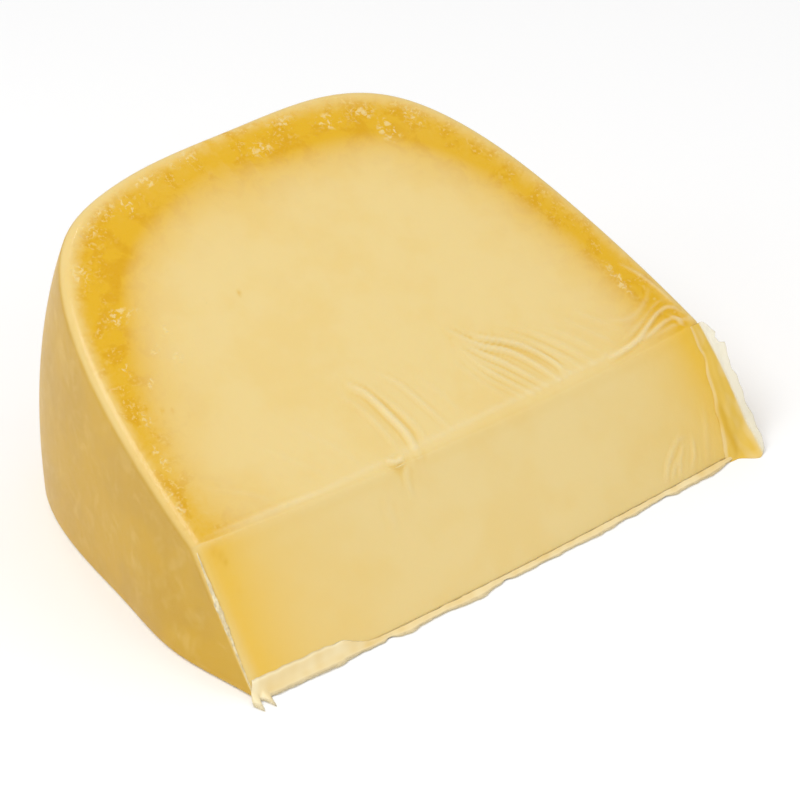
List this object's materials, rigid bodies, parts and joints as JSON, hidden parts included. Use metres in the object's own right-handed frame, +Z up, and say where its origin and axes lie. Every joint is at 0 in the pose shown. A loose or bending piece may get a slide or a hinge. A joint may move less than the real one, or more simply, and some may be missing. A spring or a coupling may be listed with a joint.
{
  "type": "gouda cheese wedge in clear film",
  "caption": "Wedge of gouda with its tip cut off, in skin-tight clear film with trimmed hems, lying on one cut side; part of the turned rind closes the back and both ends.",
  "frame": {"origin": "middle of the base, on the table", "axes": "+Z is up as the piece lies. +X runs along the axis of the wheel that it was cut from, towards the end with the film's hem. The low front cut faces -Y and the rim of the wheel faces +Y."},
  "size_m": [0.1126, 0.0904, 0.0572],
  "materials": {
    "cheese": "satin",
    "film": "gloss"
  },
  "bodies": {
    "root": {"gouda": "cheese", "film_hem_front": "film", "film_hem_right": "film"}
  },
  "joints": []
}
